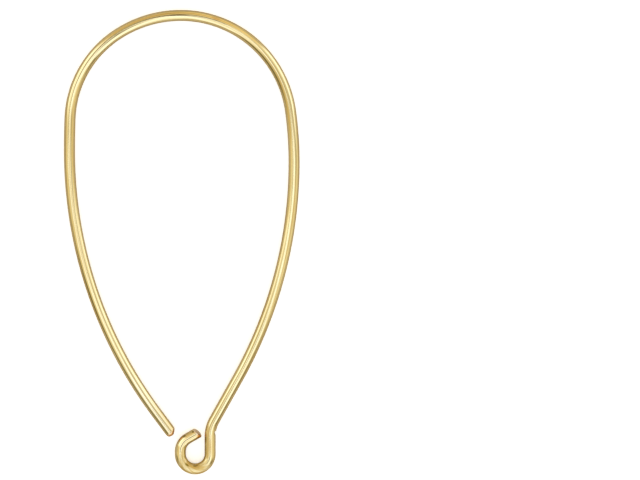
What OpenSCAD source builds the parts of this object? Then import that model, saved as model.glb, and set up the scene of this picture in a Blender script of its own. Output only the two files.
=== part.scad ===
/* [Wire] */
// Diameter of the round wire
wire_d = 0.81; // [0.6:0.01:1.1]

/* [Hoop] */
// Width of the hoop over its outside
hoop_w = 17.5; // [14:0.5:22]
// Height from the top of the crown to the bottom of the eye
hoop_h = 34.5; // [28:0.5:42]

/* [Tail] */
// Straight stretch at the end of the tail
tail_l = 2; // [1:0.1:4]
// Rounding of the edge of the tail's tip
tip_r = 0.27; // [0.05:0.01:0.29]
// Clear space between the tip and the outside of the eye
tail_gap = 0.55; // [0.3:0.01:2]
// Direction from the eye to the tip, in degrees up from the right
tail_a = 143.5; // [130:0.5:155]

/* [Neck and shank] */
// Straight stretch of the right side above the corner of the neck
neck_l = 4.2; // [3:0.1:6]
// Radius of the wire's centre line round the neck
neck_r = 2.4; // [1.2:0.1:3]
// Height of the corner of the neck above the centre of the eye
shank_l = 1.95; // [1.5:0.05:3]
// Radius of the nick that the pliers left inside the neck
nick_r = 0.3; // [0.1:0.05:0.5]
// Depth of that nick
nick_depth = 0.08; // [0.02:0.01:0.15]

/* [Eye] */
// Inside diameter of the eye
eye_id = 1.4; // [1:0.05:2.4]
// Distance of the eye's centre to the right of the hoop's middle
eye_x = 1; // [0:0.1:2]
// Straight rise between the round bottom of the eye and its last bend
eye_rise = 0.2; // [0.05:0.05:0.6]
// Turn of the eye's last bend, in degrees
lap_a = 60; // [45:1:75]
// Clear space between the cut end and the shank
eye_gap = 0.2; // [0.1:0.05:0.5]
// Slant of the cut across the end, in degrees
cut_a = 14; // [0:1:30]
// Lean of the cut, which turns its face up, in degrees
cut_lean = 10; // [0:1:20]

/* [Hidden] */
wire_r = wire_d / 2;
// Facets round the wire and round a whole turn of a bend
wire_fn = 48;
bend_fn = 240;
// Stretches of the wire stop this far short of each other, and balls that are a hair thicker
// than the wire join them, so that it is one solid whatever its sizes
seam = 0.01 * wire_r;
ball_r = 1.0025 * wire_r;

// A run of wire is a list of stretches, each as [turn, size]. Where turn is 0 the stretch is a
// straight of that length. Else it is a bend with a centre line of that radius, to the right by
// turn degrees, or to the left where turn is negative.

// Place and heading [x, y, heading] at the far end of a stretch that starts at a place
function far_end(place, stretch) =
    let (a = place[2], b = a - stretch[0], r = sign(stretch[0]) * stretch[1])
    stretch[0] == 0
    ? [place[0] + stretch[1] * cos(a), place[1] + stretch[1] * sin(a), a]
    : [place[0] + r * (sin(a) - sin(b)), place[1] + r * (cos(b) - cos(a)), b];

// Place and heading at the far end of a whole run
function run_end(run, place, i = 0) =
    i == len(run) ? place : run_end(run, far_end(place, run[i]), i + 1);

// The crown's bends from the hoop's widest place on the left to its top, and on to its widest
// place on the right. Their radii are shares of one radius that follows from the hoop's width.
crown_left = [[2, 8], [54, 0.91], [34, 1]];
crown_right = [[82, 0.96], [8, 3.2]];
left_rise = run_end(crown_left, [0, 0, 90]);
right_fall = run_end(crown_right, [0, 0, 0]);
crown_r = (hoop_w - wire_d) / (left_rise[0] + right_fall[0]);

// Places on the wire's centre line. The middle of the hoop's width and height is the origin.
widest_x = (hoop_w - wire_d) / 2;
top_y = (hoop_h - wire_d) / 2;
left_y = top_y - crown_r * left_rise[1];
right_y = top_y + crown_r * right_fall[1];
eye_r = (eye_id + wire_d) / 2;
eye_y = eye_r - top_y;
shank_x = eye_x + eye_r;
neck_y = eye_y + shank_l;
tip_reach = eye_r + wire_r + tail_gap;
tip_x = eye_x + tip_reach * cos(tail_a);
tip_y = eye_y + eye_rise + tip_reach * sin(tail_a);

// A side of the hoop leaves its widest place straight down, in one bend and then a straight of
// length l that ends at a point dx further in and dy further down
function side_tangent(dx, dy, l) = (dx * dx + dy * dy - l * l) / (2 * (dy + l));
function side_bend(dx, dy, l) =
    let (tangent = side_tangent(dx, dy, l), turn = atan2(dx, dy - tangent))
    [turn, tangent / tan(turn / 2)];
left_bend = side_bend(tip_x + widest_x, left_y - tip_y, tail_l);
right_bend = side_bend(widest_x - shank_x, right_y - neck_y, neck_l);

// The neck turns back by as much as the right side leans in, so the shank hangs straight down.
// The pliers' nick is at this share of its turn.
neck_turn = right_bend[0];
neck_tangent = neck_r * tan(neck_turn / 2);
nick_share = 0.75;

// The eye's end is a straight that stops short of the shank by the gap. A block with this side
// cuts it off.
cutter = 4 * wire_d;
lap_h = 90 - lap_a;
corner_x = wire_r
    * norm([sin(lap_h) + tan(cut_a) * cos(lap_h), tan(cut_lean) * cos(lap_h) / cos(cut_a)]);
lap_l = (eye_r * (1 + cos(lap_a)) - wire_r - eye_gap - corner_x) / cos(lap_h);

// The ball that joins a stretch to the one before it
module ball() {
    rotate([0, 90, 0]) sphere(r = ball_r, $fn = wire_fn);
}

// A straight stretch. Like each module below, it starts at the origin along X, and puts its
// children at its far end.
module straight(l) {
    ball();
    translate([seam, 0, 0]) rotate([0, 90, 0]) cylinder(h = l - 2 * seam, d = wire_d, $fn = wire_fn);
    translate([l, 0, 0]) children();
}

// A bent stretch
module bend(turn, r) {
    side = sign(turn);
    seam_a = asin(seam / r);
    ball();
    translate([0, -side * r, 0]) {
        rotate([0, 0, side > 0 ? 90 - turn : -90])
            rotate_extrude(angle = abs(turn) - 2 * seam_a, start = seam_a, $fn = bend_fn)
            translate([r, 0]) circle(d = wire_d, $fn = wire_fn);
        rotate([0, 0, -turn]) translate([0, side * r, 0]) children();
    }
}

// The stretches of a run, one after the other, with their sizes multiplied by k
module wire(run, k = 1, i = 0) {
    if (i == len(run)) children();
    else if (run[i][0] == 0) straight(k * run[i][1]) wire(run, k, i + 1) children();
    else bend(run[i][0], k * run[i][1]) wire(run, k, i + 1) children();
}

// The tail, straight, with the edge of its tip filed round
module tail() {
    color("gold") {
        rotate([0, 90, 0]) rotate_extrude($fn = wire_fn) {
            square([wire_r - tip_r, tail_l - seam]);
            translate([0, tip_r]) square([wire_r, tail_l - seam - tip_r]);
            intersection() {
                square(wire_r);
                translate([wire_r - tip_r, tip_r]) circle(r = tip_r, $fn = wire_fn);
            }
        }
        translate([tail_l, 0, 0]) children();
    }
}

// The left side, from the tail up to the hoop's widest place
module left_side() {
    color("gold") bend(left_bend[0], left_bend[1]) children();
}

// The crown, which hangs in the ear
module crown() {
    color("gold") wire(crown_left, crown_r) wire(crown_right, crown_r) children();
}

// The right side, down to the neck
module right_side() {
    color("gold") bend(right_bend[0], right_bend[1]) straight(neck_l - neck_tangent) children();
}

// The neck, with the nick on its inner side, and the shank
module neck_and_shank() {
    nick = far_end([0, 0, 0], [-nick_share * neck_turn, neck_r]);
    color("gold") difference() {
        bend(-neck_turn, neck_r) straight(shank_l - neck_tangent) children();
        translate([nick[0], nick[1], -wire_d]) rotate([0, 0, nick[2]])
            translate([0, wire_r + nick_r - nick_depth, 0])
            cylinder(h = 2 * wire_d, r = nick_r, $fn = wire_fn);
    }
}

// The eye, with its end cut off on a slant
module eye() {
    color("gold") wire([[180, eye_r], [0, eye_rise], [lap_a, eye_r]]) difference() {
        straight(lap_l + wire_d);
        translate([lap_l, 0, 0]) rotate([0, -cut_lean, cut_a])
            translate([0, -cutter / 2, -cutter / 2]) cube(cutter);
    }
}

// The whole ear wire lying flat, from the tip of its tail to the cut end of its eye
module ear_wire() {
    translate([tip_x, tip_y, wire_r]) rotate([0, 0, 90 + left_bend[0]])
        tail() left_side() crown() right_side() neck_and_shank() eye();
}

ear_wire();
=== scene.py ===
import collections
import math

import bpy
import numpy as np
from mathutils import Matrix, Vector


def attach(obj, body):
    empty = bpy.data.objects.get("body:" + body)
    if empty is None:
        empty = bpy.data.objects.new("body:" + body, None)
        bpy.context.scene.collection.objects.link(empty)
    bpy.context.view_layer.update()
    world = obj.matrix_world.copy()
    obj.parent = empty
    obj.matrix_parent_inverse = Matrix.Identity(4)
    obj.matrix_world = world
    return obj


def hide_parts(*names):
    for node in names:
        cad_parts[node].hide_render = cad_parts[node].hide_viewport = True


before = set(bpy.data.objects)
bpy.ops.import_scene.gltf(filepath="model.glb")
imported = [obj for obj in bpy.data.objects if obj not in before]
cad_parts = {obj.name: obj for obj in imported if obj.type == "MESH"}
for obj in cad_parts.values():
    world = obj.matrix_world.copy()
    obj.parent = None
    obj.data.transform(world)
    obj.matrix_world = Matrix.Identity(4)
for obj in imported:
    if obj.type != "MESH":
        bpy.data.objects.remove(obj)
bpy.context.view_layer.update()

# The wire. The whole ear wire is one length of 20 gauge gold-filled wire: round, drawn through a
# die and polished. It is bent in one plane, the hoop round a mandrel and the neck and the eye with
# pliers. These sizes and stretches are the model's own, in metres.
MM = 0.001
wire_d = 0.81 * MM
wire_r = wire_d / 2
hoop_w = 17.5 * MM
hoop_h = 34.5 * MM
tail_l = 2.0 * MM
tip_r = 0.27 * MM
tail_gap = 0.55 * MM
tail_a = math.radians(143.5)
neck_l = 4.2 * MM
neck_r = 2.4 * MM
nick_r = 0.3 * MM
nick_depth = 0.08 * MM
nick_share = 0.75
shank_l = 1.95 * MM
eye_id = 1.4 * MM
eye_x = 1.0 * MM
eye_rise = 0.2 * MM
lap_a = math.radians(60)
eye_gap = 0.2 * MM
cut_a = math.radians(14)
cut_lean = math.radians(10)


def far_end(place, stretch):
    """Place and heading (x, y, heading) at the far end of a stretch. Where its turn is 0 it is a
    straight of that length, and else a bend of that radius, to the left where it is negative."""
    x, y, heading = place
    turn, size = stretch
    if turn == 0:
        return x + size * math.cos(heading), y + size * math.sin(heading), heading
    radius = math.copysign(size, turn)
    after = heading - turn
    x += radius * (math.sin(heading) - math.sin(after))
    y += radius * (math.cos(after) - math.cos(heading))
    return x, y, after


def run_end(run, place):
    for stretch in run:
        place = far_end(place, stretch)
    return place


def side_bend(dx, dy, straight):
    """The bend by which a side of the hoop leaves its widest place, before a straight that ends
    dx further in and dy further down."""
    tangent = (dx * dx + dy * dy - straight * straight) / (2 * (dy + straight))
    turn = math.atan2(dx, dy - tangent)
    return turn, tangent / math.tan(turn / 2)


# The crown is a chain of arcs. Each has its turn, in degrees, and its share of the crown's radius.
crown_left = [(math.radians(turn), share) for turn, share in ((2, 8), (54, 0.91), (34, 1))]
crown_right = [(math.radians(turn), share) for turn, share in ((82, 0.96), (8, 3.2))]
left_rise = run_end(crown_left, (0, 0, math.radians(90)))
right_fall = run_end(crown_right, (0, 0, 0))
crown_r = (hoop_w - wire_d) / (left_rise[0] + right_fall[0])

widest_x = (hoop_w - wire_d) / 2
top_y = (hoop_h - wire_d) / 2
left_y = top_y - crown_r * left_rise[1]
right_y = top_y + crown_r * right_fall[1]
eye_r = (eye_id + wire_d) / 2
eye_y = eye_r - top_y
neck_y = eye_y + shank_l
tip_reach = eye_r + wire_r + tail_gap
tip_x = eye_x + tip_reach * math.cos(tail_a)
tip_y = eye_y + eye_rise + tip_reach * math.sin(tail_a)
left_bend = side_bend(tip_x + widest_x, left_y - tip_y, tail_l)
right_bend = side_bend(widest_x - eye_x - eye_r, right_y - neck_y, neck_l)
neck_turn = right_bend[0]
neck_tangent = neck_r * math.tan(neck_turn / 2)
lap_h = math.radians(90) - lap_a
corner_x = wire_r * math.hypot(
    math.sin(lap_h) + math.tan(cut_a) * math.cos(lap_h),
    math.tan(cut_lean) * math.cos(lap_h) / math.cos(cut_a),
)
lap_l = (eye_r * (1 + math.cos(lap_a)) - wire_r - eye_gap - corner_x) / math.cos(lap_h)

tail = [(0, tail_l)]
hoop = [left_bend]
hoop += [(turn, share * crown_r) for turn, share in crown_left + crown_right]
hoop += [right_bend, (0, neck_l - neck_tangent)]
neck = [(-neck_turn, neck_r), (0, shank_l - neck_tangent)]
eye = [(math.pi, eye_r), (0, eye_rise), (lap_a, eye_r), (0, lap_l)]


def rings(run, place, step):
    """Places and headings along a run, one for about every step of its length."""
    found = []
    for turn, size in run:
        count = math.ceil((size if turn == 0 else abs(turn) * size) / step)
        for k in range(1, count + 1):
            part = (0, size * k / count) if turn == 0 else (turn * k / count, size)
            found.append(far_end(place, part))
        place = found[-1]
    return found


def run_length(run):
    return sum(size if turn == 0 else abs(turn) * size for turn, size in run)


coarse_step = 0.1 * MM
fine_step = 0.04 * MM
path = [(tip_x, tip_y, math.radians(90) + left_bend[0])]
for run, step in ((tail, fine_step), (hoop, coarse_step), (neck, fine_step), (eye, fine_step)):
    path += rings(run, path[-1], step)
neck_at = run_length(tail + hoop)
eye_at = neck_at + run_length(neck)
end_at = eye_at + run_length(eye)

spline_data = bpy.data.curves.new("wire_path", "CURVE")
spline_data.dimensions = "3D"
spline = spline_data.splines.new("POLY")
spline.points.add(len(path) - 1)
for point, (x, y, heading) in zip(spline.points, path):
    point.co = (x, y, wire_r, 1)
wire_path = bpy.data.objects.new("wire_path", spline_data)
bpy.context.scene.collection.objects.link(wire_path)


def add_node(tree, kind, inputs=None, **settings):
    """Adds a node with its settings. Each input is given a value, or the socket or the node that
    feeds it. A node feeds it from its first output."""
    node = tree.nodes.new(kind)
    for name, value in settings.items():
        setattr(node, name, value)
    for key, value in (inputs or {}).items():
        if isinstance(value, bpy.types.Node):
            value = value.outputs[0]
        if isinstance(value, bpy.types.NodeSocket):
            tree.links.new(value, node.inputs[key])
        else:
            node.inputs[key].default_value = value
    return node


def linear(code):
    """An sRGB hex colour as linear values, with an alpha of 1."""
    parts = [int(code[k:k + 2], 16) / 255 for k in (0, 2, 4)]
    return (*(c / 12.92 if c <= 0.04045 else ((c + 0.055) / 1.055) ** 2.4 for c in parts), 1.0)


# The finish of the wire: a skin of yellow gold bonded to brass, drawn smooth and then polished.
# It gives the eye bright cream bands with golden flanks, and fine lines along the wire.
gold = bpy.data.materials.new("polished_gold_filled_wire")
gold.use_nodes = True
shade = gold.node_tree
shade.nodes.clear()
section = add_node(shade, "ShaderNodeAttribute", attribute_name="section")
along = add_node(shade, "ShaderNodeAttribute", attribute_name="along").outputs["Fac"]
split = add_node(shade, "ShaderNodeSeparateXYZ", {0: section.outputs["Vector"]})
straight_wire = add_node(shade, "ShaderNodeCombineXYZ", {
    0: split.outputs[0],
    1: split.outputs[1],
    2: along,
})

# The lines that the die drew along the wire, bumped in, with painted shade that darkens the colour
# along them. Real ones are a few hundredths of a millimetre wide. These are as coarse as they need
# to be to show, and start where the noise has them well spread.
line_w = 0.11 * MM
line_l = 9 * MM
line_depth = 0.015 * MM
noise_start = (5.3, 2.1, 0.0)
lines_at = add_node(shade, "ShaderNodeMapping", {
    0: straight_wire,
    "Location": noise_start,
    "Scale": (1 / line_w, 1 / line_w, 1 / line_l),
})
lines = add_node(shade, "ShaderNodeTexNoise", {
    "Vector": lines_at,
    "Scale": 1.0,
    "Detail": 1.0,
    "Roughness": 0.5,
})
line_bump = add_node(shade, "ShaderNodeBump", {
    "Height": lines,
    "Strength": 1.0,
    "Distance": line_depth,
})
# Painted shade: the colour darkens to a deeper gold along the lines.
painted_line_shade = add_node(shade, "ShaderNodeMapRange", {
    "Value": lines,
    "From Min": 0.38,
    "From Max": 0.47,
    "To Min": 0.55,
    "To Max": 0.0,
})
line_shaded_colour = add_node(shade, "ShaderNodeMix", {
    "Factor": painted_line_shade,
    6: linear("F5E6B5"),
    7: linear("C9AC68"),
}, data_type="RGBA")

# Faint golden stains from handling.
stain_w = 0.4 * MM
stain_l = 1.6 * MM
stain_at = add_node(shade, "ShaderNodeMapping", {
    0: straight_wire,
    "Scale": (1 / stain_w, 1 / stain_w, 1 / stain_l),
})
stain = add_node(shade, "ShaderNodeTexNoise", {
    "Vector": stain_at,
    "Scale": 1.0,
    "Detail": 3.0,
})
stained = add_node(shade, "ShaderNodeMapRange", {
    "Value": stain,
    "From Min": 0.45,
    "From Max": 0.8,
    "To Min": 0.0,
    "To Max": 0.35,
})
wear_and_painted_light = add_node(shade, "ShaderNodeMix", {
    "Factor": stained,
    6: line_shaded_colour.outputs[2],
    7: linear("E3C98A"),
}, data_type="RGBA")

# Round the eye's bottom the pliers dragged the skin. It is duller there, with slanting streaks.
dragged_at = eye_at + 1.9 * MM
streak_w = 0.15 * MM
streak_l = 1.6 * MM
streak_slant = math.radians(28)
past_middle = add_node(shade, "ShaderNodeMath", {0: along, 1: dragged_at}, operation="SUBTRACT")
from_middle = add_node(shade, "ShaderNodeMath", {0: past_middle}, operation="ABSOLUTE")
dragged = add_node(shade, "ShaderNodeMapRange", {
    "Value": from_middle,
    "From Min": 1.6 * MM,
    "From Max": 0.8 * MM,
}, interpolation_type="SMOOTHSTEP")
streaks_at = add_node(shade, "ShaderNodeMapping", {
    0: straight_wire,
    "Rotation": (0, streak_slant, 0),
    "Scale": (streak_w, streak_w, streak_l),
}, vector_type="TEXTURE")
streaks = add_node(shade, "ShaderNodeTexNoise", {
    "Vector": streaks_at,
    "Scale": 1.0,
    "Detail": 1.0,
})
streaky = add_node(shade, "ShaderNodeMapRange", {
    "Value": streaks,
    "From Min": 0.62,
    "From Max": 0.40,
}, interpolation_type="SMOOTHSTEP")
streaked = add_node(shade, "ShaderNodeMath", {0: dragged, 1: streaky}, operation="MULTIPLY")
wear_and_painted_light = add_node(shade, "ShaderNodeMix", {
    "Factor": streaked,
    6: wear_and_painted_light.outputs[2],
    7: linear("E0C47E"),
}, data_type="RGBA")
polished_roughness = 0.1
added_by_dragging = 0.4
roughness = add_node(shade, "ShaderNodeMath", {
    0: dragged,
    1: added_by_dragging,
    2: polished_roughness,
}, operation="MULTIPLY_ADD")

# Marks on the skin. Olive spots where the pliers gripped hardest and next to the cut are painted
# dark reflections, a golden streak on the shank is a painted reflection, a cream band along the
# tail's top is a painted highlight, a dark line along the crown's top is a painted reflection of
# the camera overhead, and a browner patch lies on the crown towards the outside. Each is given by
# its place along the wire, its place round it in degrees from its top towards the outside of the
# bends, its half sizes, its strength and its colour.
Mark = collections.namedtuple("Mark", "at around half_l half_w strength colour")


def eye_at_turn(turn):
    """Place along the wire where the eye has turned by so many degrees."""
    return eye_at + math.radians(turn) * eye_r


marks = (
    # Painted dark reflections: olive spots on the eye's plier flats and next to the cut.
    Mark(at=eye_at_turn(128), around=-22, half_l=0.30 * MM, half_w=0.13 * MM,
         strength=0.9, colour="8E7A22"),
    Mark(at=eye_at_turn(88), around=-42, half_l=0.34 * MM, half_w=0.11 * MM,
         strength=0.8, colour="8A6E2A"),
    Mark(at=eye_at_turn(246), around=48, half_l=0.14 * MM, half_w=0.14 * MM,
         strength=0.8, colour="8E8040"),
    Mark(at=end_at - 0.16 * MM, around=38, half_l=0.16 * MM, half_w=0.12 * MM,
         strength=0.9, colour="8A7A3C"),
    # A painted reflection: a golden streak along the shank.
    Mark(at=eye_at - 0.6 * MM, around=3, half_l=1.0 * MM, half_w=0.11 * MM,
         strength=0.8, colour="D6B670"),
    # A painted highlight: a cream band along the top of the tail.
    Mark(at=3.0 * MM, around=0, half_l=4.5 * MM, half_w=0.5 * MM,
         strength=0.45, colour="F8F0D8"),
    # A painted reflection of the camera: a thin dark line along the top of the crown.
    Mark(at=37.6 * MM, around=-4, half_l=1.2 * MM, half_w=0.055 * MM,
         strength=1.0, colour="6A4A10"),
    # A browner patch on the crown, towards the outside.
    Mark(at=40.4 * MM, around=22, half_l=0.5 * MM, half_w=0.16 * MM,
         strength=0.5, colour="C9A06A"),
)


def spot(at, around, half_l, half_w):
    """1 in the middle of a long spot on the wire and 0 outside it, with a soft edge."""
    outward = wire_r * math.sin(math.radians(around))
    upward = wire_r * math.cos(math.radians(around))
    away = add_node(shade, "ShaderNodeVectorMath", {
        0: straight_wire,
        1: (-outward, -upward, at),
    }, operation="SUBTRACT")
    shares = add_node(shade, "ShaderNodeVectorMath", {
        0: away,
        1: (half_w, half_w, half_l),
    }, operation="DIVIDE")
    apart = add_node(shade, "ShaderNodeVectorMath", {0: shares}, operation="LENGTH")
    return add_node(shade, "ShaderNodeMapRange", {
        "Value": apart.outputs["Value"],
        "From Min": 1.0,
        "From Max": 0.3,
    }, interpolation_type="SMOOTHSTEP")


for mark in marks:
    share = add_node(shade, "ShaderNodeMath", {
        0: spot(mark.at, mark.around, mark.half_l, mark.half_w),
        1: mark.strength,
    }, operation="MULTIPLY")
    wear_and_painted_light = add_node(shade, "ShaderNodeMix", {
        "Factor": share,
        6: wear_and_painted_light.outputs[2],
        7: linear(mark.colour),
    }, data_type="RGBA")

# At the cut the brass shows through on one corner.
corner = spot(at=end_at, around=-48, half_l=0.32 * MM, half_w=0.30 * MM)
wear_and_painted_light = add_node(shade, "ShaderNodeMix", {
    "Factor": corner,
    6: wear_and_painted_light.outputs[2],
    7: linear("E0A550"),
}, data_type="RGBA")
skin = add_node(shade, "ShaderNodeBsdfPrincipled", {
    "Base Color": wear_and_painted_light.outputs[2],
    "Metallic": 1.0,
    "Roughness": roughness,
    "Specular Tint": linear("C2A070"),
    "Normal": line_bump,
})

# The bare ends: the brass core that the shears and the file laid open. The cut's pale colour is a
# painted reflection of the bright floor, but for its orange corner, and the filed tip has gone a
# dull orange.
past_cut = add_node(shade, "ShaderNodeMapRange", {
    "Value": along,
    "From Min": end_at - 0.1 * MM,
    "From Max": end_at - 0.02 * MM,
}, interpolation_type="SMOOTHSTEP")
past_tip = add_node(shade, "ShaderNodeMapRange", {
    "Value": along,
    "From Min": 0.35 * MM,
    "From Max": 0.10 * MM,
}, interpolation_type="SMOOTHSTEP")
# Painted reflection: the cut face is painted pale cream, and its corner orange.
cut_colour_and_painted_reflection = add_node(shade, "ShaderNodeMix", {
    "Factor": corner,
    6: linear("FBEBD8"),
    7: linear("DF9A45"),
}, data_type="RGBA")
core_colour_and_painted_reflection = add_node(shade, "ShaderNodeMix", {
    "Factor": past_tip,
    6: cut_colour_and_painted_reflection.outputs[2],
    7: linear("E3AF70"),
}, data_type="RGBA")
core = add_node(shade, "ShaderNodeBsdfPrincipled", {
    "Base Color": core_colour_and_painted_reflection.outputs[2],
    "Metallic": 1.0,
    "Roughness": 0.45,
})
bare = add_node(shade, "ShaderNodeMath", {0: past_cut, 1: past_tip}, operation="MAXIMUM")
whole_skin = add_node(shade, "ShaderNodeMixShader", {0: bare, 1: skin, 2: core})
add_node(shade, "ShaderNodeOutputMaterial", {0: whole_skin})

# The tree that sweeps the round section along the path. It rounds the tail's tip, and the edge of
# the cut end a little.
sides = 64
cut_edge_r = 0.06 * MM
sweep = bpy.data.node_groups.new("round_wire", "GeometryNodeTree")
sockets = {}
for name, kind, value in (
    ("Geometry", "NodeSocketGeometry", None),
    ("Wire radius", "NodeSocketFloat", wire_r),
    ("Sides", "NodeSocketInt", sides),
    ("Tip rounding", "NodeSocketFloat", tip_r),
    ("Wire length", "NodeSocketFloat", end_at),
    ("Edge rounding", "NodeSocketFloat", cut_edge_r),
    ("Finish", "NodeSocketMaterial", gold),
):
    socket = sweep.interface.new_socket(name, in_out="INPUT", socket_type=kind)
    sockets[socket.identifier] = value
sweep.interface.new_socket("Geometry", in_out="OUTPUT", socket_type="NodeSocketGeometry")
given = add_node(sweep, "NodeGroupInput").outputs
length = add_node(sweep, "GeometryNodeSplineParameter").outputs["Length"]


def rounded(edge_r, from_end):
    """Share of the wire's radius that a rounded end leaves at a distance from that end."""
    full_r = given["Wire radius"]
    inside = add_node(sweep, "ShaderNodeMath", {0: edge_r, 1: from_end}, operation="SUBTRACT")
    run = add_node(sweep, "ShaderNodeMath", {0: inside, 1: 0.0}, operation="MAXIMUM")
    run_square = add_node(sweep, "ShaderNodeMath", {0: run, 1: run}, operation="MULTIPLY")
    square = add_node(sweep, "ShaderNodeMath", {0: edge_r, 1: edge_r}, operation="MULTIPLY")
    rest = add_node(sweep, "ShaderNodeMath", {0: square, 1: run_square}, operation="SUBTRACT")
    rise = add_node(sweep, "ShaderNodeMath", {0: rest}, operation="SQRT")
    flat_r = add_node(sweep, "ShaderNodeMath", {0: full_r, 1: edge_r}, operation="SUBTRACT")
    left_r = add_node(sweep, "ShaderNodeMath", {0: flat_r, 1: rise}, operation="ADD")
    return add_node(sweep, "ShaderNodeMath", {0: left_r, 1: full_r}, operation="DIVIDE")


to_cut = add_node(sweep, "ShaderNodeMath", {
    0: given["Wire length"],
    1: length,
}, operation="SUBTRACT")
at_tip = rounded(given["Tip rounding"], length)
at_cut = rounded(given["Edge rounding"], to_cut)
radius_share = add_node(sweep, "ShaderNodeMath", {0: at_tip, 1: at_cut}, operation="MINIMUM")
upright = add_node(sweep, "GeometryNodeSetCurveNormal", {"Curve": given["Geometry"]}, mode="Z_UP")
marked_path = add_node(sweep, "GeometryNodeStoreNamedAttribute", {
    "Geometry": upright,
    "Name": "along",
    "Value": length,
}, data_type="FLOAT", domain="POINT")
circle = add_node(sweep, "GeometryNodeCurvePrimitiveCircle", {
    "Resolution": given["Sides"],
    "Radius": given["Wire radius"],
})
marked_circle = add_node(sweep, "GeometryNodeStoreNamedAttribute", {
    "Geometry": circle,
    "Name": "section",
    "Value": add_node(sweep, "GeometryNodeInputPosition"),
}, data_type="FLOAT_VECTOR", domain="POINT")
tube = add_node(sweep, "GeometryNodeCurveToMesh", {
    "Curve": marked_path,
    "Profile Curve": marked_circle,
    "Scale": radius_share,
    "Fill Caps": True,
})
whole = add_node(sweep, "GeometryNodeRealizeInstances", {"Geometry": tube})
finished = add_node(sweep, "GeometryNodeSetMaterial", {
    "Geometry": whole,
    "Material": given["Finish"],
})
add_node(sweep, "NodeGroupOutput", {0: finished})

modifier = wire_path.modifiers.new("round_wire", "NODES")
modifier.node_group = sweep
for identifier, value in sockets.items():
    if value is not None:
        modifier[identifier] = value
depsgraph = bpy.context.evaluated_depsgraph_get()
mesh = bpy.data.meshes.new_from_object(wire_path.evaluated_get(depsgraph), depsgraph=depsgraph)
bpy.data.objects.remove(wire_path)
wire = bpy.data.objects.new("ear_wire_skin", mesh)
bpy.context.scene.collection.objects.link(wire)

# The marks that the tools left. The mesh is rings of points along the path, so each point has a
# place along the wire, to the left of its heading and up from its centre.
places = np.array(path)
ring = np.repeat(np.arange(len(path)), sides)
forward = np.stack([np.cos(places[:, 2]), np.sin(places[:, 2])], axis=1)[ring]
left = np.stack([-forward[:, 1], forward[:, 0]], axis=1)
points = np.empty(3 * len(mesh.vertices))
mesh.vertices.foreach_get("co", points)
points = points.reshape(-1, 3)
offset = points[:, :2] - places[ring, :2]
out_left = (offset * left).sum(axis=1)
out_up = points[:, 2] - wire_r
shift = (offset * forward).sum(axis=1)
steps = np.hypot(*np.diff(places[:, :2], axis=0).T)
s = np.concatenate([[0], np.cumsum(steps)])[ring]

# The cut end slants across the wire and leans back, which turns its face up.
near_cut = np.clip(1 - (end_at - s) / wire_d, 0, 1)
slant = out_left * math.tan(cut_a) + out_up * math.tan(cut_lean) / math.cos(cut_a)
shift -= near_cut * slant

# The tip was filed more on the hoop's inner side.
filed_l = 1.0 * MM
filed_from = 0.05 * MM
filed_slope = 0.7
filed = filed_slope * np.clip(1 - s / filed_l, 0, 1) ** 2
shift += filed * np.clip(-out_left - filed_from, 0, None)

# The pliers' edge left a nick across the neck.
nick_at = neck_at + nick_share * neck_turn * neck_r
nick_rise = nick_r ** 2 - (s - nick_at) ** 2
floor_of_nick = wire_r + nick_r - nick_depth - np.sqrt(np.clip(nick_rise, 0, None))
out_left = np.where(nick_rise > 0, np.minimum(out_left, floor_of_nick), out_left)

# Their jaws pressed shallow flats into the eye. Each is given by the turn of the eye where it
# lies, its place round the wire from its top towards the eye's outside, and its sizes.
Flat = collections.namedtuple("Flat", "turn around half_l half_w depth")
flats = (
    Flat(turn=128, around=-40, half_l=0.30 * MM, half_w=0.20 * MM, depth=0.035 * MM),
    Flat(turn=88, around=-48, half_l=0.34 * MM, half_w=0.16 * MM, depth=0.03 * MM),
    Flat(turn=152, around=-30, half_l=0.22 * MM, half_w=0.18 * MM, depth=0.02 * MM),
    Flat(turn=196, around=42, half_l=0.20 * MM, half_w=0.14 * MM, depth=0.02 * MM),
    Flat(turn=40, around=38, half_l=0.30 * MM, half_w=0.15 * MM, depth=0.02 * MM),
)
turned = np.degrees((s - eye_at) / eye_r)
around = np.degrees(np.arctan2(out_left, out_up))
press = np.zeros(len(s))
for flat in flats:
    lengthwise = np.radians(turned - flat.turn) * eye_r / flat.half_l
    crosswise = np.radians(around - flat.around) * wire_r / flat.half_w
    press += flat.depth * np.exp(-lengthwise ** 2 - crosswise ** 2)
least_r = 0.01 * MM
shrink = 1 - press / np.maximum(np.hypot(out_left, out_up), press + least_r)
out_left = out_left * shrink
out_up = out_up * shrink

points[:, :2] = places[ring, :2] + shift[:, None] * forward + out_left[:, None] * left
points[:, 2] = wire_r + out_up
mesh.vertices.foreach_set("co", points.ravel())
mesh.update()

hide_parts("ear_wire")
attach(wire, "root")

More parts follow.
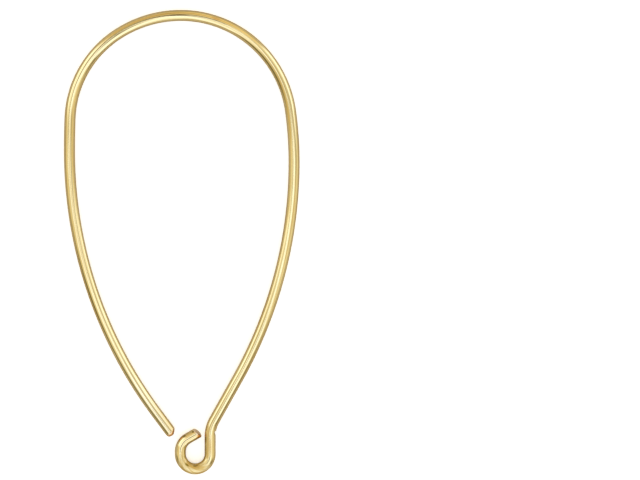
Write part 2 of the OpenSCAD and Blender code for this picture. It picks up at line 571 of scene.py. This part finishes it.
# The floor: a matt card that the ear wire lies on. In the picture it is bleached to plain white.
# What the wire reflects of it, and what light it throws back, is that of a warm buff card.
card = bpy.data.materials.new("matt_card")
card.use_nodes = True
paper = card.node_tree
paper.nodes.clear()
buff = add_node(paper, "ShaderNodeBsdfDiffuse", {"Color": linear("CEC6B7")})
white = add_node(paper, "ShaderNodeBsdfDiffuse", {"Color": linear("F3F3F3")})
bleach = add_node(paper, "ShaderNodeEmission", {"Color": linear("FFFFFF"), "Strength": 0.5})
bleached = add_node(paper, "ShaderNodeAddShader", {0: white, 1: bleach})
ray = add_node(paper, "ShaderNodeLightPath")
seen = add_node(paper, "ShaderNodeMixShader", {
    0: ray.outputs["Is Camera Ray"],
    1: buff,
    2: bleached,
})
add_node(paper, "ShaderNodeOutputMaterial", {0: seen})
floor_half = 1.5
floor_mesh = bpy.data.meshes.new("floor")
floor_mesh.from_pydata(
    [(x * floor_half, y * floor_half, 0) for x, y in ((-1, -1), (1, -1), (1, 1), (-1, 1))],
    [],
    [(0, 1, 2, 3)],
)
floor_mesh.materials.append(card)
floor = bpy.data.objects.new("floor", floor_mesh)
bpy.context.scene.collection.objects.link(floor)


# The light comes from a dim, warm room round the hoop. It darkens from the ceiling down to the
# horizon, and has a few darker and lighter patches. Each of them is given by the direction of its
# middle, and by how far from there it starts to fade and ends, all in degrees.
def direction(azimuth, zenith):
    """The direction that has these angles, in degrees from +X and from straight up."""
    a, z = math.radians(azimuth), math.radians(zenith)
    return Vector((math.cos(a) * math.sin(z), math.sin(a) * math.sin(z), math.cos(z)))


world = bpy.data.worlds.new("room")
bpy.context.scene.world = world
world.use_nodes = True
room = world.node_tree
room.nodes.clear()
looking = add_node(room, "ShaderNodeTexCoord").outputs["Generated"]
height = add_node(room, "ShaderNodeVectorMath", {
    0: looking,
    1: (0, 0, 1),
}, operation="DOT_PRODUCT")
heights = add_node(room, "ShaderNodeValToRGB", {0: height.outputs["Value"]})
heights.color_ramp.interpolation = "EASE"
heights.color_ramp.elements.new(0.6)
ramp = ((0.0, "BCB197"), (0.6, "E5D7B5"), (1.0, "EFE7D1"))
for stop, (position, code) in zip(heights.color_ramp.elements, ramp):
    stop.position = position
    stop.color = linear(code)
colour = heights.outputs[0]
Patch = collections.namedtuple("Patch", "azimuth zenith inner outer colour")
patches = (
    Patch(azimuth=82, zenith=54, inner=12, outer=34, colour="F8E1AC"),
    Patch(azimuth=118, zenith=50, inner=10, outer=28, colour="D7BD89"),
    Patch(azimuth=178, zenith=52, inner=8, outer=24, colour="ECDBAF"),
    Patch(azimuth=208, zenith=75, inner=14, outer=27, colour="898465"),
    Patch(azimuth=-30, zenith=84, inner=14, outer=36, colour="958969"),
    Patch(azimuth=0, zenith=62, inner=10, outer=36, colour="F6ECCE"),
    Patch(azimuth=16, zenith=43, inner=5, outer=15, colour="BFBAA6"),
)
for patch in patches:
    towards = add_node(room, "ShaderNodeVectorMath", {
        0: looking,
        1: direction(patch.azimuth, patch.zenith),
    }, operation="DOT_PRODUCT")
    share = add_node(room, "ShaderNodeMapRange", {
        "Value": towards.outputs["Value"],
        "From Min": math.cos(math.radians(patch.outer)),
        "From Max": math.cos(math.radians(patch.inner)),
    }, interpolation_type="SMOOTHSTEP")
    colour = add_node(room, "ShaderNodeMix", {
        "Factor": share,
        6: colour,
        7: linear(patch.colour),
    }, data_type="RGBA").outputs[2]

# What hangs in the room: a wide panel on the near side, which reaches from overhead to about 20
# degrees above the horizon, a camera and its arm overhead, a dim bar on each side of them, and two
# soft boxes. Each is a rectangle on a plane that faces the hoop from a distance of 1. Its centre
# and half sizes are measured on that plane, across and up, and soft is the share of the half sizes
# by which its edge fades on either side.
Window = collections.namedtuple("Window", "azimuth zenith centre half soft colour brightness")
panel = Window(azimuth=-90, zenith=55, centre=(0.14, 0.69), half=(0.76, 0.97),
               soft=0.06, colour="F7FAFF", brightness=1.38)
overhead = (
    Window(azimuth=-90, zenith=0, centre=(0.02, -0.23), half=(0.17, 0.12),
           soft=0.3, colour="817655", brightness=1.0),
    Window(azimuth=-90, zenith=0, centre=(-0.11, 0.18), half=(0.14, 0.09),
           soft=0.15, colour="908159", brightness=1.0),
    Window(azimuth=-90, zenith=0, centre=(-0.11, 0.12), half=(0.11, 0.05),
           soft=0.1, colour="817350", brightness=1.0),
)
bars = (
    Window(azimuth=-90, zenith=0, centre=(-0.47, 0.085), half=(0.20, 0.085),
           soft=0.2, colour="D7D1B8", brightness=1.0),
    Window(azimuth=-90, zenith=0, centre=(0.30, 0.16), half=(0.32, 0.065),
           soft=0.2, colour="CBC0A2", brightness=1.0),
)
soft_boxes = (
    Window(azimuth=153, zenith=51, centre=(0, 0), half=(0.25, 0.33),
           soft=0.25, colour="FDFFFC", brightness=1.4),
    Window(azimuth=30, zenith=74, centre=(0, 0), half=(0.33, 0.56),
           soft=0.2, colour="FEFFFE", brightness=1.35),
)


def covered(on_plane, centre, half, soft):
    """1 inside a rectangle and 0 outside it, with soft edges."""
    reaches = []
    for reach, middle, size in zip(on_plane, centre, half):
        offset = add_node(room, "ShaderNodeMath", {0: reach, 1: middle}, operation="SUBTRACT")
        apart = add_node(room, "ShaderNodeMath", {0: offset}, operation="ABSOLUTE")
        reaches.append(add_node(room, "ShaderNodeMath", {0: apart, 1: size}, operation="DIVIDE"))
    furthest = add_node(room, "ShaderNodeMath", dict(enumerate(reaches)), operation="MAXIMUM")
    return add_node(room, "ShaderNodeMapRange", {
        "Value": furthest,
        "From Min": 1 + soft,
        "From Max": 1 - soft,
    }, interpolation_type="SMOOTHSTEP")


least_depth = 0.001
for window in (panel, *overhead, *bars, *soft_boxes):
    out = direction(window.azimuth, window.zenith)
    side = direction(window.azimuth + 90, 90)
    ahead, sideways, upwards = [
        add_node(room, "ShaderNodeVectorMath", {
            0: looking,
            1: axis,
        }, operation="DOT_PRODUCT").outputs["Value"]
        for axis in (out, side, out.cross(side))
    ]
    depth = add_node(room, "ShaderNodeMath", {0: ahead, 1: least_depth}, operation="MAXIMUM")
    on_plane = [
        add_node(room, "ShaderNodeMath", {0: reach, 1: depth}, operation="DIVIDE")
        for reach in (sideways, upwards)
    ]
    colour = add_node(room, "ShaderNodeMix", {
        "Factor": covered(on_plane, window.centre, window.half, window.soft),
        6: colour,
        7: [window.brightness * part for part in linear(window.colour)],
    }, data_type="RGBA").outputs[2]
lit_room = add_node(room, "ShaderNodeBackground", {"Color": colour, "Strength": 1.0})
backdrop = add_node(room, "ShaderNodeBackground", {"Color": linear("F3F3F3"), "Strength": 1.0})
room_ray = add_node(room, "ShaderNodeLightPath")
either = add_node(room, "ShaderNodeMixShader", {
    0: room_ray.outputs["Is Camera Ray"],
    1: lit_room,
    2: backdrop,
})
add_node(room, "ShaderNodeOutputWorld", {0: either})

# The camera looks straight down through a long lens, as from a copy stand. It stands where the
# hoop gets its place and its size in the picture.
view_width = 47.55 * MM
view_x = 10.27 * MM
view_y = 0.16 * MM
camera_data = bpy.data.cameras.new("camera")
camera_data.lens = 100
camera_data.sensor_width = 36
camera_data.clip_start = 0.001
camera_data.clip_end = 100
camera = bpy.data.objects.new("camera", camera_data)
rise = view_width * camera_data.lens / camera_data.sensor_width
camera.location = (view_x, view_y, wire_r + rise)
bpy.context.scene.collection.objects.link(camera)
bpy.context.scene.camera = camera
bpy.context.scene.view_settings.view_transform = "Standard"
